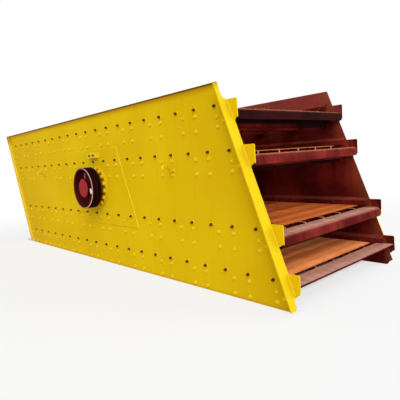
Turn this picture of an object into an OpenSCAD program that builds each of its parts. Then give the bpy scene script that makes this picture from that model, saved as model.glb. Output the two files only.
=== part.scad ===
// Four-deck inclined vibrating screen: the screen box with its decks and exciter.
// X runs along the decks with the discharge end at +X, the drive side is at -Y and +Z is up.
// The box stands on the bottom edges of its two side plates, at Z = 0.

/* [Side plates] */
// Length of a side plate along its bottom edge
plate_l = 6250; // [5050:50:7450]
// Height of a side plate
plate_h = 2130; // [2100:10:2300]
// Thickness of a side plate
plate_t = 12; // [8:1:20]
// Clear width between the side plates
inside_w = 1900; // [1700:10:2200]
// Lean of the plate ends from the vertical, in degrees
end_slant = 20.5; // [12:0.5:26]
// Size of the clipped corners of a side plate
corner_clip = 55; // [30:5:80]
// Setback of the drive plate's slanted edge over the first deck's cheek
top_setback = 66; // [10:2:90]
// Setback of the far plate's slanted edge over the first deck's cheek
far_top_setback = 10; // [5:1:40]
// Setback of both slanted edges under the fourth deck's cheeks
foot_setback = 38; // [10:2:60]
// Reach of the discharge flanges out from the side plates
flange_w = 118; // [100:2:160]
// Reach of the feed flanges out from the side plates
feed_flange_w = 32; // [20:2:120]
// Thickness of the edge flanges
flange_t = 12; // [8:1:20]
// Height of the flanges' lower ends over the floor
flange_low = 50; // [30:5:80]
// Setback of the far side's discharge flange from the slanted edge
far_flange_setback = 75; // [0:5:120]
// Thickness of the plate that closes the feed end
feed_plate_t = 10; // [6:1:16]
// Height of the open slot left under and over the feed end plate
feed_plate_gap = 40; // [20:5:80]

/* [Decks] */
// Height of the first deck's bolt row
deck1_z = 1903; // [1880:1:1960]
// Height of the second deck's bolt row
deck2_z = 1462; // [1455:1:1500]
// Height of the third deck's bolt row
deck3_z = 719; // [680:1:720]
// Height of the fourth deck's bolt row
deck4_z = 268; // [260:1:300]
// Drop from a bolt row to the top of the screen mesh
mesh_drop = 15; // [5:1:25]
// Thickness of the screen mesh
mesh_t = 12; // [8:1:20]
// Spacing of the mesh's cross bars
mesh_pitch_x = 300; // [200:10:400]
// Spacing of the mesh's long bars
mesh_pitch_y = 150; // [100:10:200]
// Width of a mesh bar
mesh_bar_w = 20; // [10:1:40]
// Setback of the mesh from the slanted discharge edge
mesh_setback = 150; // [146:1:200]
// Clearance of the deck's rear end from the feed edge
feed_clear = 60; // [50:5:120]

/* [Deck frames] */
// Number of stringers under each mesh
stringer_count = 5; // [3:1:7]
// Spacing of the stringers
stringer_pitch = 340; // [240:10:380]
// Thickness of a stringer
stringer_t = 12; // [8:1:20]
// Spacing of the cross-beams
beam_pitch = 600; // [500:10:700]
// Distance of the first cross-beam from the slanted discharge edge
beam_first = 630; // [500:10:700]
// Drop from a bolt row to the middle of a cross-beam
beam_drop = 143; // [130:1:150]
// Width of a cross-beam tube
beam_w = 100; // [80:2:140]
// Height of a cross-beam tube
beam_h = 150; // [120:2:170]
// Wall of a cross-beam tube
beam_wall = 8; // [5:1:12]
// Width of a cross-beam's end flange
beam_flange_w = 260; // [220:5:300]
// Height of a cross-beam's end flange
beam_flange_h = 216; // [180:2:220]
// Thickness of a cross-beam's end flange
beam_flange_t = 14; // [8:1:20]
// Width of the tube that carries the discharge lip
end_beam_w = 70; // [50:2:90]
// Distance of that tube from the slanted edge, at the bolt row
end_beam_setback = 109; // [100:1:140]
// Width of that tube's end flange
end_flange_w = 170; // [120:5:180]
// Height of that tube on the fourth deck
end_beam4_h = 60; // [40:2:150]

/* [Discharge ends] */
// Drop from the first bolt row to the top of its lip
lip1_drop = 55; // [30:1:65]
// Drop from the second bolt row to the top of its lip
lip2_drop = 52; // [30:1:65]
// Drop from the third bolt row to the top of its lip
lip3_drop = 38; // [28:1:65]
// Drop from the fourth bolt row to the top of its lip
lip4_drop = 15; // [15:1:65]
// Setback of a lip's nose from the front of its cheeks
lip_inset = 6; // [2:1:20]
// Length of the tail behind a lip that lies over its stringers
lip_tail = 33; // [10:1:60]
// Thickness of the lip's bent plate
lip_t = 10; // [6:1:14]
// Outside radius of the lip's front bend
lip_bend = 32; // [16:1:40]
// Number of decks, from the top, whose lips have a front apron
apron_count = 3; // [0:1:4]
// Height of the lip's front apron
apron_h = 100; // [70:1:130]
// Reach of the first deck's cheeks past the slanted edge, at the bolt row
cheek1_reach = 103; // [90:1:140]
// Reach of the second deck's cheeks past the slanted edge
cheek2_reach = 120; // [90:1:140]
// Reach of the third deck's cheeks past the slanted edge
cheek3_reach = 115; // [90:1:140]
// Reach of the fourth deck's cheeks past the slanted edge
cheek4_reach = 92; // [90:1:140]
// Height of a cheek over the lip
cheek_over = 95; // [60:1:110]
// Height of a cheek's upright front edge
cheek_h = 175; // [140:1:190]
// Drop of the sloping edge under a cheek
cheek_slope = 30; // [15:1:45]
// Corner radius of a cheek
cheek_r = 14; // [6:1:24]

/* [Side rails] */
// Height of a side rail over the mesh
rail_h = 90; // [60:2:100]
// Width of a side rail
rail_w = 45; // [30:1:60]
// Size of the bevelled top of a side rail
rail_bevel = 34; // [20:1:40]
// Thickness of a side rail's folded plate
rail_t = 8; // [4:1:10]

/* [Exciter] */
// Distance of the exciter from the slanted discharge edge
exciter_setback = 2980; // [2900:10:3060]
// Height of the exciter
exciter_z = 1100; // [1095:1:1110]
// Outside radius of the exciter tube
tube_r = 200; // [160:2:220]
// Wall of the exciter tube
tube_wall = 12; // [8:1:20]
// Thickness of the exciter tube's end flange
tube_flange_t = 20; // [12:1:30]
// Radius of the bearing housing's flange
housing_r = 295; // [270:1:298]
// Thickness of the bearing housing's flange
housing_t = 30; // [20:1:36]
// Radius of the bearing housing's drum
drum_r = 190; // [160:2:230]
// Reach of the bearing housing's drum from its flange
drum_reach = 48; // [30:1:50]
// Radius of the hole in the side plate for the bearing housing
plate_bore_r = 150; // [120:2:155]
// Length of the housing's spigot past the side plate
spigot_l = 70; // [40:5:110]
// Length of the reinforcing plate round the exciter
doubler_l = 1560; // [1200:20:1760]
// Height of the reinforcing plate round the exciter
doubler_h = 1060; // [1040:10:1120]
// Thickness of the reinforcing plate
doubler_t = 10; // [6:1:14]
// Radius of the exciter shaft in its bearings
shaft_r = 60; // [45:1:80]
// Radius of the shaft between the bearings
shaft_mid_r = 78; // [62:1:110]
// Radial clearance of the running shaft
run_clear = 0.05; // [0.02:0.01:0.1]

/* [Wheels] */
// Outside radius of the drive pulley and the flywheel
wheel_r = 288; // [250:1:320]
// Gap from the side plate to the back of a wheel
wheel_gap = 104; // [100:1:130]
// Number of belt grooves
groove_count = 5; // [3:1:6]
// Spacing of the belt grooves
groove_pitch = 25.5; // [24:0.5:30]
// Width of a belt groove at the rim
groove_w = 21; // [16:0.5:22]
// Depth of a belt groove
groove_depth = 18; // [12:0.5:20]
// Land beside the outer grooves
groove_land = 17; // [14:0.5:24]
// Thickness of the wheel rim
rim_t = 30; // [26:1:45]
// Setback of the web from the wheel's back
web_setback = 16; // [8:1:30]
// Thickness of the web
web_t = 30; // [18:1:40]
// Radius of the wheel's hub
hub_r = 118; // [100:1:130]
// Setback of the hub's front from the wheel's front
hub_setback = 36; // [30:1:60]
// Radius of the hub cover
cover_r = 132; // [110:1:150]
// Thickness of the hub cover
cover_t = 30; // [15:1:40]

/* [Fittings] */
// Side of the lifting hook's square bar
hook_bar = 28; // [20:1:36]
// Height of the lifting hooks
hook_z = 1287; // [1270:1:1300]
// Distance of the first lifting hook from the slanted edge
hook_first = 1130; // [1000:10:1180]
// Spacing of the two lifting hooks on a side
hook_pitch = 3600; // [3200:10:3650]
// Straight root of a hook
hook_root = 30; // [20:1:50]
// Straight shank of a hook
hook_shank = 60; // [40:1:90]
// Bend radius of the hook's shank
hook_bend = 40; // [24:1:60]
// Bend radius of the hook's nose
hook_nose = 34; // [24:1:45]
// Length of a grease block
grease_l = 240; // [160:5:300]
// Height of a grease block
grease_h = 70; // [40:2:80]
// Depth of a grease block
grease_t = 50; // [30:2:80]
// Height of a grease block's middle
grease_z = 1550; // [1540:1:1575]

/* [Hidden] */
$fn = 64;
yellow = "#d8b010";
dark_red = "#5a1a17";
rust = "#a85c2c";
pulley_red = "#7a231d";
steel = "#8c8c8c";
cover_red = "#a52a28";

slant = tan(end_slant);
box_w = inside_w + 2 * plate_t;
deck_z = [deck1_z, deck2_z, deck3_z, deck4_z];
lip_drop = [lip1_drop, lip2_drop, lip3_drop, lip4_drop];
cheek_reach = [cheek1_reach, cheek2_reach, cheek3_reach, cheek4_reach];
end_tube_h = [beam_h, beam_h, beam_h, end_beam4_h];

// Middle of the whole length, measured from the discharge edge at the floor.
x_front = max(cheek4_reach - slant * deck4_z, -slant * flange_low);
x_back = -plate_l - slant * plate_h;
x_mid = (x_front + x_back) / 2;
// The slanted discharge edge and feed edge of a side plate at height z.
function edge_x(z) = -slant * z - x_mid;
function feed_x(z) = edge_x(z) - plate_l;

// Levels and ends of a deck.
function mesh_top(i) = deck_z[i] - mesh_drop;
function beam_z(i) = deck_z[i] - beam_drop;
function beam_top(i) = beam_z(i) + beam_h / 2;
function mesh_front(i) = edge_x(deck_z[i]) - mesh_setback;
function deck_rear(i) = feed_x(beam_top(i)) + feed_clear;
function lip_top(i) = deck_z[i] - lip_drop[i];
function lip_back(i) = edge_x(deck_z[i]) - end_beam_setback + end_beam_w / 2;
function over_stringers(i) = lip_drop[i] + lip_t <= mesh_drop + mesh_t;
function lip_rear(i) = lip_back(i) - (over_stringers(i) ? lip_tail : 0);
function cheek_front(i) = edge_x(deck_z[i]) + cheek_reach[i];
function cheek_top(i) = lip_top(i) + cheek_over;
function cheek_heel(i) = cheek_top(i) - cheek_h - cheek_slope;
function rail_front(i) = edge_x(mesh_top(i) + rail_h) - (i == 0 ? top_setback : 0);

// Cross-beams that fit on a deck, and where they stand.
beam_count = floor((plate_l - beam_first - beam_flange_w / 2 - feed_clear) / beam_pitch) + 1;
function beam_x(i, k) = edge_x(beam_z(i)) - beam_first - k * beam_pitch;

// The exciter's place, and the beam positions that its flanges leave free.
exciter_x = edge_x(exciter_z) - exciter_setback;
function clear_of_exciter(i, k) =
    abs(beam_x(i, k) - exciter_x) > housing_r + beam_flange_w / 2 + seat_clear
    || abs(beam_z(i) - exciter_z) > housing_r + beam_flange_h / 2 + seat_clear;

// Clearance of a spigot in its hole and of a wheel on its shaft.
seat_clear = 0.3;
wheel_w = (groove_count - 1) * groove_pitch + 2 * groove_land;
groove_floor_w = groove_w - 2 * groove_depth * tan(18);
rim_in_r = wheel_r - rim_t;
wheel_bore_r = shaft_r + run_clear;
hook_rise = 45;
hook_turn = 150;
hook_steps = 10;
shaft_end_gap = 6;
overcut = 1;

// Draws a drive-side shape, or its mirror image on the far side.
module on_drive_side() {
    children();
}
module on_far_side() {
    mirror([0, 1, 0]) children();
}
module on_both_sides() {
    on_drive_side() children();
    on_far_side() children();
}

// Extrudes a profile drawn in X and Z from y to y + depth.
module across(y, depth) {
    translate([0, y + depth, 0]) rotate([90, 0, 0]) linear_extrude(depth) children();
}

// Extrudes a profile drawn in Y and Z from x to x + length.
module along(x, length) {
    translate([x, 0, 0]) rotate([90, 0, 90]) linear_extrude(length) children();
}

// Turns a profile of radius and reach, measured out from the drive-side plate, round the exciter axis.
module turned() {
    translate([exciter_x, -box_w / 2, exciter_z]) rotate([90, 0, 0]) rotate_extrude() children();
}

// Hole for the bearing housing, through what lies between y and y + depth.
module housing_hole(y, depth) {
    translate([exciter_x, y + depth + overcut, exciter_z]) rotate([90, 0, 0])
        cylinder(r = plate_bore_r, h = depth + 2 * overcut);
}

// Side plate: a parallelogram with clipped corners at the floor.
// Its discharge edge is set back over the first deck's cheek and under the fourth deck's.
module side_plate(setback) {
    z_foot = cheek_heel(3) - foot_setback / 3;
    z_head = cheek_top(0) + setback / 3;
    difference() {
        across(-box_w / 2, plate_t) polygon([
            [feed_x(0) + corner_clip, 0],
            [edge_x(0) - foot_setback - corner_clip, 0],
            [edge_x(corner_clip) - foot_setback, corner_clip],
            [edge_x(z_foot) - foot_setback, z_foot],
            [edge_x(cheek_heel(3)), cheek_heel(3)],
            [edge_x(cheek_top(0)), cheek_top(0)],
            [edge_x(z_head) - setback, z_head],
            [edge_x(plate_h) - setback, plate_h],
            [feed_x(plate_h), plate_h],
            [feed_x(corner_clip), corner_clip]
        ]);
        housing_hole(-box_w / 2, plate_t);
    }
}
module drive_side_plate() {
    color(yellow) on_drive_side() side_plate(top_setback);
}
module far_side_plate() {
    color(yellow) on_far_side() side_plate(far_top_setback);
}

// Reinforcing plate round the exciter, with its ends parallel to the plate ends.
module doubler() {
    z_low = exciter_z - doubler_h / 2;
    z_high = exciter_z + doubler_h / 2;
    x_low = edge_x(z_low) - exciter_setback;
    x_high = edge_x(z_high) - exciter_setback;
    difference() {
        across(-box_w / 2 - doubler_t, doubler_t) polygon([
            [x_low - doubler_l / 2, z_low],
            [x_low + doubler_l / 2, z_low],
            [x_high + doubler_l / 2, z_high],
            [x_high - doubler_l / 2, z_high]
        ]);
        housing_hole(-box_w / 2 - doubler_t, doubler_t);
    }
}
module drive_doubler() {
    color(yellow) on_drive_side() doubler();
}
module far_doubler() {
    color(yellow) on_far_side() doubler();
}

// Flat bar standing out from a side plate along a slanted edge, from a profile of reach and length.
module edge_bar(x_edge, x_shift) {
    translate([x_edge, -box_w / 2, 0]) rotate([0, -end_slant, 0]) along(x_shift, flange_t) children();
}

// Discharge flange, with its root cut away where the plate's edge is set back.
module discharge_flange(x_shift, setback) {
    low = flange_low / cos(end_slant);
    high = plate_h / cos(end_slant);
    heel = cheek_heel(3) / cos(end_slant);
    head = cheek_top(0) / cos(end_slant);
    edge_bar(edge_x(0), x_shift) polygon([
        [0, heel],
        [0, head],
        [-setback, head + setback / 3],
        [-setback, high],
        [-flange_w, high],
        [-flange_w, low],
        [-foot_setback, low],
        [-foot_setback, heel - foot_setback / 3]
    ]);
}
module drive_discharge_flange() {
    color(yellow) on_drive_side() discharge_flange(-flange_t, top_setback);
}
module far_discharge_flange() {
    color(yellow) on_far_side()
        discharge_flange(-flange_t - far_flange_setback * cos(end_slant), far_top_setback);
}

// Feed flange, with its free upper corner cut off.
module feed_flange() {
    low = flange_low / cos(end_slant);
    high = plate_h / cos(end_slant) - flange_t * tan(end_slant);
    cut = feed_flange_w / 2;
    edge_bar(feed_x(0), 0) polygon([
        [0, low],
        [0, high],
        [-feed_flange_w + cut, high],
        [-feed_flange_w, high - cut],
        [-feed_flange_w, low]
    ]);
}
module drive_feed_flange() {
    color(yellow) on_drive_side() feed_flange();
}
module far_feed_flange() {
    color(yellow) on_far_side() feed_flange();
}

// Plate between the side plates that closes the feed end.
module feed_end_plate() {
    l_low = feed_plate_gap / cos(end_slant);
    l_high = (plate_h - feed_plate_gap) / cos(end_slant);
    color(dark_red) translate([feed_x(0), -inside_w / 2, 0]) rotate([0, -end_slant, 0])
        translate([0, 0, l_low]) cube([feed_plate_t, inside_w, l_high - l_low]);
}

// Screen mesh: a grid of long bars and cross bars with a solid border under the side rails.
module deck_mesh(i) {
    length = mesh_front(i) - deck_rear(i);
    open_l = length - mesh_bar_w;
    open_w = inside_w - 2 * rail_w;
    cells_x = round(open_l / mesh_pitch_x);
    cells_y = round(open_w / mesh_pitch_y);
    cell_l = open_l / cells_x;
    cell_w = open_w / cells_y;
    color(rust) translate([deck_rear(i), -inside_w / 2, mesh_top(i) - mesh_t])
        linear_extrude(mesh_t) difference() {
            square([length, inside_w]);
            for (a = [0:cells_x - 1], b = [0:cells_y - 1])
                translate([mesh_bar_w + a * cell_l, rail_w + mesh_bar_w / 2 + b * cell_w])
                    square([cell_l - mesh_bar_w, cell_w - mesh_bar_w]);
        }
}
module deck1_mesh() {
    deck_mesh(0);
}
module deck2_mesh() {
    deck_mesh(1);
}
module deck3_mesh() {
    deck_mesh(2);
}
module deck4_mesh() {
    deck_mesh(3);
}

// Stringers: flat bars on edge, from the cross-beams up to the mesh.
module deck_stringers(i) {
    length = lip_back(i) - deck_rear(i);
    height = mesh_top(i) - mesh_t - beam_top(i);
    first_y = -(stringer_count - 1) / 2 * stringer_pitch - stringer_t / 2;
    color(dark_red) for (j = [0:stringer_count - 1])
        translate([deck_rear(i), first_y + j * stringer_pitch, beam_top(i)])
            cube([length, stringer_t, height]);
}
module deck1_stringers() {
    deck_stringers(0);
}
module deck2_stringers() {
    deck_stringers(1);
}
module deck3_stringers() {
    deck_stringers(2);
}
module deck4_stringers() {
    deck_stringers(3);
}

// Rectangular tube under a deck with a bolting flange on each end, open through both flanges.
module cross_tube(i, x, w, h, flange) {
    z = beam_top(i) - h / 2;
    across(-inside_w / 2, inside_w) translate([x, z]) difference() {
        square([w, h], center = true);
        square([w - 2 * beam_wall, h - 2 * beam_wall], center = true);
    }
    on_both_sides() across(-inside_w / 2, beam_flange_t) difference() {
        translate([x, beam_z(i)]) square([flange, beam_flange_h], center = true);
        translate([x, z]) square([w - 2 * beam_wall, h - 2 * beam_wall], center = true);
    }
}

// Cross-beams of a deck, and the narrower one that carries the discharge lip.
module deck_cross_beams(i) {
    color(dark_red) {
        for (k = [0:beam_count - 1])
            if (clear_of_exciter(i, k)) cross_tube(i, beam_x(i, k), beam_w, beam_h, beam_flange_w);
        cross_tube(i, edge_x(deck_z[i]) - end_beam_setback, end_beam_w, end_tube_h[i], end_flange_w);
    }
}
module deck1_cross_beams() {
    deck_cross_beams(0);
}
module deck2_cross_beams() {
    deck_cross_beams(1);
}
module deck3_cross_beams() {
    deck_cross_beams(2);
}
module deck4_cross_beams() {
    deck_cross_beams(3);
}

// Discharge lip: a bent plate with a back leg on the end tube, a flat top and, on the upper decks, an apron.
// Its ends are notched round the end tube's flanges.
module lip_profile(i) {
    front = cheek_front(i) - lip_inset;
    top = lip_top(i);
    flat_end = i < apron_count ? front - lip_bend : front;
    leg_foot = beam_top(i) - end_tube_h[i] * 3 / 4;
    translate([lip_back(i), leg_foot]) square([lip_t, top - leg_foot]);
    translate([lip_rear(i), top - lip_t]) square([flat_end - lip_rear(i), lip_t]);
    if (i < apron_count) {
        translate([front - lip_t, top - apron_h]) square([lip_t, apron_h - lip_bend]);
        translate([front - lip_bend, top - lip_bend]) intersection() {
            difference() {
                circle(lip_bend);
                circle(lip_bend - lip_t);
            }
            square(lip_bend);
        }
    }
}
module deck_discharge_lip(i) {
    notch = beam_flange_t + seat_clear;
    notch_back = lip_rear(i) - overcut;
    notch_front = edge_x(deck_z[i]) - end_beam_setback + end_flange_w / 2 + seat_clear;
    notch_foot = beam_z(i) - beam_h;
    notch_top = beam_z(i) + beam_flange_h / 2 + seat_clear;
    color(dark_red) difference() {
        across(-inside_w / 2, inside_w) lip_profile(i);
        on_both_sides() translate([notch_back, -inside_w / 2 - overcut, notch_foot])
            cube([notch_front - notch_back, notch + overcut, notch_top - notch_foot]);
    }
}
module deck1_discharge_lip() {
    deck_discharge_lip(0);
}
module deck2_discharge_lip() {
    deck_discharge_lip(1);
}
module deck3_discharge_lip() {
    deck_discharge_lip(2);
}
module deck4_discharge_lip() {
    deck_discharge_lip(3);
}

// Cheeks: plates welded to the slanted edges that close the ends of a lip.
module deck_cheeks(i) {
    front = cheek_front(i);
    top = cheek_top(i);
    foot = top - cheek_h;
    color(yellow) on_both_sides() across(-box_w / 2, plate_t) {
        polygon([
            [edge_x(cheek_heel(i)), cheek_heel(i)],
            [front - cheek_r, foot],
            [front - cheek_r, top],
            [edge_x(top), top]
        ]);
        translate([front - cheek_r, foot]) square([cheek_r, cheek_h - cheek_r]);
        translate([front - cheek_r, top - cheek_r]) intersection() {
            circle(cheek_r);
            square(cheek_r);
        }
    }
}
module deck1_cheeks() {
    deck_cheeks(0);
}
module deck2_cheeks() {
    deck_cheeks(1);
}
module deck3_cheeks() {
    deck_cheeks(2);
}
module deck4_cheeks() {
    deck_cheeks(3);
}

// Side rails: folded plates bolted along the side plates, with a bevelled top, that hold the mesh down.
module deck_side_rails(i) {
    foot = mesh_top(i);
    top = foot + rail_h;
    land = rail_w - rail_bevel;
    // Shift of the fold's inner corners, so that the plate is as thick on the bevel.
    fold = rail_t * tan(22.5);
    color(dark_red) on_both_sides() along(deck_rear(i), rail_front(i) - deck_rear(i))
        translate([-inside_w / 2, 0]) polygon([
            [0, top],
            [land, top],
            [rail_w, top - rail_bevel],
            [rail_w, foot],
            [rail_w - rail_t, foot],
            [rail_w - rail_t, top - rail_bevel - fold],
            [land - fold, top - rail_t],
            [0, top - rail_t]
        ]);
}
module deck1_side_rails() {
    deck_side_rails(0);
}
module deck2_side_rails() {
    deck_side_rails(1);
}
module deck3_side_rails() {
    deck_side_rails(2);
}
module deck4_side_rails() {
    deck_side_rails(3);
}

// Exciter tube: joins the two bearing housings across the box, with a flange on each side plate.
module exciter_tube() {
    color(dark_red) translate([exciter_x, inside_w / 2, exciter_z]) rotate([90, 0, 0]) difference() {
        union() {
            cylinder(r = tube_r, h = inside_w);
            cylinder(r = housing_r, h = tube_flange_t);
            translate([0, 0, inside_w - tube_flange_t]) cylinder(r = housing_r, h = tube_flange_t);
        }
        translate([0, 0, -overcut]) cylinder(r = tube_r - tube_wall, h = inside_w + 2 * overcut);
    }
}

// Bearing housing: a flange on the reinforcing plate, a drum outside and a spigot into the tube.
module bearing_housing() {
    bore = shaft_r + run_clear;
    flange_face = doubler_t + housing_t;
    drum_face = flange_face + drum_reach;
    chamfer = housing_t / 4;
    turned() polygon([
        [bore, -plate_t - spigot_l],
        [plate_bore_r - seat_clear, -plate_t - spigot_l],
        [plate_bore_r - seat_clear, doubler_t],
        [housing_r, doubler_t],
        [housing_r, flange_face - chamfer],
        [housing_r - chamfer, flange_face],
        [drum_r, flange_face],
        [drum_r, drum_face - chamfer],
        [drum_r - chamfer, drum_face],
        [bore, drum_face]
    ]);
}
module drive_bearing_housing() {
    color(yellow) on_drive_side() bearing_housing();
}
module far_bearing_housing() {
    color(yellow) on_far_side() bearing_housing();
}

// Shaft: journals through both housings and hubs, and a thicker middle inside the tube.
module exciter_shaft() {
    reach = wheel_gap + wheel_w - hub_setback - shaft_end_gap;
    mid_end = -plate_t - spigot_l - shaft_end_gap;
    color(steel) turned() polygon([
        [0, reach],
        [shaft_r, reach],
        [shaft_r, mid_end],
        [shaft_mid_r, mid_end],
        [shaft_mid_r, -box_w - mid_end],
        [shaft_r, -box_w - mid_end],
        [shaft_r, -box_w - reach],
        [0, -box_w - reach]
    ]);
}

// Points across a grooved rim, from the wheel's back to its front.
function groove_points() = [
    for (g = [0:groove_count - 1])
        let (middle = wheel_gap + groove_land + g * groove_pitch)
            each [
                [wheel_r, middle - groove_w / 2],
                [wheel_r - groove_depth, middle - groove_floor_w / 2],
                [wheel_r - groove_depth, middle + groove_floor_w / 2],
                [wheel_r, middle + groove_w / 2]
            ]
];

// Wheel with a rim, a web set towards its back and a hub; the rim's face is given as points.
module wheel(rim_face) {
    back = wheel_gap;
    front = back + wheel_w;
    web_back = back + web_setback;
    web_front = web_back + web_t;
    hub_front = front - hub_setback;
    turned() polygon(concat(
        [[wheel_r, back]],
        rim_face,
        [
            [wheel_r, front],
            [rim_in_r, front],
            [rim_in_r, web_front],
            [hub_r, web_front],
            [hub_r, hub_front],
            [wheel_bore_r, hub_front],
            [wheel_bore_r, back],
            [hub_r, back],
            [hub_r, web_back],
            [rim_in_r, web_back],
            [rim_in_r, back]
        ]
    ));
}
module drive_pulley() {
    color(pulley_red) on_drive_side() wheel(groove_points());
}
module far_flywheel() {
    color(pulley_red) on_far_side() wheel([]);
}

// Round covers on the hub fronts, with a rounded edge.
module hub_cover() {
    back = wheel_gap + wheel_w - hub_setback;
    edge = cover_t / 3;
    turned() {
        translate([0, back]) square([cover_r, cover_t - edge]);
        translate([0, back]) square([cover_r - edge, cover_t]);
        translate([cover_r - edge, back + cover_t - edge]) intersection() {
            circle(edge);
            square(edge);
        }
    }
}
module hub_covers() {
    color(cover_red) on_both_sides() hub_cover();
}

// Points on a bend of the hook's bar, from one angle to another.
function bend_points(centre, radius, from, to) = [
    for (k = [0:hook_steps])
        let (angle = from + (to - from) * k / hook_steps)
            centre + radius * [cos(angle), sin(angle)]
];

// Lifting hook: a square bar with a root square to the side plate, a rising shank and a nose turned down.
module lifting_hook(x) {
    half = hook_bar / 2;
    heel = [hook_root, hook_bend];
    drop = hook_bend + hook_nose;
    nose = heel + [
        hook_shank * cos(hook_rise) + drop * sin(hook_rise),
        hook_shank * sin(hook_rise) - drop * cos(hook_rise)
    ];
    nose_start = 90 + hook_rise;
    nose_end = nose_start - hook_turn;
    translate([x + half, -box_w / 2, hook_z]) rotate([90, 0, -90]) linear_extrude(hook_bar)
        polygon(concat(
            [[0, -half]],
            bend_points(heel, hook_bend + half, -90, hook_rise - 90),
            bend_points(nose, hook_nose - half, nose_start, nose_end),
            bend_points(nose, hook_nose + half, nose_end, nose_start),
            bend_points(heel, hook_bend - half, hook_rise - 90, -90),
            [[0, half]]
        ));
}
module lifting_hooks() {
    for (n = [0, 1]) lifting_hook(edge_x(hook_z) - hook_first - n * hook_pitch);
}
module drive_lifting_hooks() {
    color(yellow) on_drive_side() lifting_hooks();
}
module far_lifting_hooks() {
    color(yellow) on_far_side() lifting_hooks();
}

// Grease blocks on the reinforcing plates, over the bearing housings.
module grease_blocks() {
    chamfer = grease_t / 5;
    color(yellow) on_both_sides() translate([exciter_x, -box_w / 2 - doubler_t, grease_z])
        along(-grease_l / 2, grease_l) polygon([
            [0, -grease_h / 2],
            [0, grease_h / 2],
            [-grease_t + chamfer, grease_h / 2],
            [-grease_t, grease_h / 2 - chamfer],
            [-grease_t, -grease_h / 2]
        ]);
}

drive_side_plate();
far_side_plate();
drive_doubler();
far_doubler();
drive_discharge_flange();
far_discharge_flange();
drive_feed_flange();
far_feed_flange();
feed_end_plate();
deck1_mesh();
deck2_mesh();
deck3_mesh();
deck4_mesh();
deck1_stringers();
deck2_stringers();
deck3_stringers();
deck4_stringers();
deck1_cross_beams();
deck2_cross_beams();
deck3_cross_beams();
deck4_cross_beams();
deck1_discharge_lip();
deck2_discharge_lip();
deck3_discharge_lip();
deck4_discharge_lip();
deck1_cheeks();
deck2_cheeks();
deck3_cheeks();
deck4_cheeks();
deck1_side_rails();
deck2_side_rails();
deck3_side_rails();
deck4_side_rails();
exciter_tube();
drive_bearing_housing();
far_bearing_housing();
exciter_shaft();
drive_pulley();
far_flywheel();
hub_covers();
drive_lifting_hooks();
far_lifting_hooks();
grease_blocks();
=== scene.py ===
import math
import random

import bmesh
import bpy
from mathutils import Matrix, Vector


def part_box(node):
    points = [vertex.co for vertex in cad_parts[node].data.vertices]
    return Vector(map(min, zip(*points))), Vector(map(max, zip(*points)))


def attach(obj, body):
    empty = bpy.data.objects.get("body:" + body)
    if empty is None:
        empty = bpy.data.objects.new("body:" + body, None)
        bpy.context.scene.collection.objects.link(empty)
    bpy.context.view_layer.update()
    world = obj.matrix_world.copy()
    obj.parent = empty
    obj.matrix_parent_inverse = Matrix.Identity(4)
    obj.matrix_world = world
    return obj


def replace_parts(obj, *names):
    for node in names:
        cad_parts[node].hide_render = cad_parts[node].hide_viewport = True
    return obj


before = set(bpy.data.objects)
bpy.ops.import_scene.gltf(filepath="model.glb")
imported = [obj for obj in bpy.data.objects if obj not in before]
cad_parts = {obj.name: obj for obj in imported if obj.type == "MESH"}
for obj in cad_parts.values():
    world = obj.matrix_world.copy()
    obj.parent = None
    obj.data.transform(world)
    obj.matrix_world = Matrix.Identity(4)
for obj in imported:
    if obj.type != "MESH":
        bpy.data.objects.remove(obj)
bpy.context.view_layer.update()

scene = bpy.context.scene
scene.view_settings.view_transform = "Standard"


# Camera at the photograph's place: in front of the discharge end on the drive side, a little over half the
# box's height up, looking down slightly and rolled a few degrees.
eye = Vector((5.5273, -3.8353, 1.4118))
ahead = Vector((-0.74098, 0.66368, -0.10233)).normalized()
right = Vector((0.671, 0.738, -0.0705))
right = (right - ahead * right.dot(ahead)).normalized()
lens = bpy.data.cameras.new("photo_camera")
lens.sensor_width = 36
lens.lens = 36.89
lens.clip_end = 300
camera = bpy.data.objects.new("photo_camera", lens)
axes = Matrix((right, right.cross(ahead), -ahead)).transposed()
camera.matrix_world = Matrix.Translation(eye) @ axes.to_4x4()
scene.collection.objects.link(camera)
scene.camera = camera


# Soft daylight from the discharge end and above, and a pale sky.
# The sky looks white to the camera and in reflections, and lights the box at half that strength.
def add_node(tree, kind, inputs=(), **settings):
    """Adds a shader node with its settings. Its sockets, by name or in order, take values, sockets or whole
    nodes, whose first output in use is linked."""
    node = tree.nodes.new("ShaderNode" + kind)
    for name, value in settings.items():
        setattr(node, name, value)
    for socket, value in inputs.items() if isinstance(inputs, dict) else enumerate(inputs):
        if isinstance(value, bpy.types.Node):
            value = next(output for output in value.outputs if output.enabled)
        if isinstance(value, bpy.types.NodeSocket):
            tree.links.new(value, node.inputs[socket])
        else:
            node.inputs[socket].default_value = value
    return node


def linear(hex_colour):
    """An sRGB hex colour as linear red, green, blue and alpha."""
    parts = [int(hex_colour[k:k + 2], 16) / 255 for k in (1, 3, 5)]
    return [p / 12.92 if p <= 0.04045 else ((p + 0.055) / 1.055) ** 2.4 for p in parts] + [1.0]


def seen_by_camera(tree):
    """One for camera rays and for rays that a surface mirrors or lets through, else nought."""
    rays = add_node(tree, "LightPath").outputs
    mirrored = add_node(tree, "Math", [rays["Is Glossy Ray"], rays["Is Transmission Ray"]], operation="MAXIMUM")
    return add_node(tree, "Math", [rays["Is Camera Ray"], mirrored], operation="MAXIMUM")


def add_daylight(name, energy, spread, toward):
    """Soft light from far away, from the direction given."""
    lamp = bpy.data.lights.new(name, "SUN")
    lamp.energy = energy
    lamp.angle = math.radians(spread)
    holder = bpy.data.objects.new(name, lamp)
    holder.matrix_world = Vector(toward).to_track_quat("Z", "Y").to_matrix().to_4x4()
    scene.collection.objects.link(holder)


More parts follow.
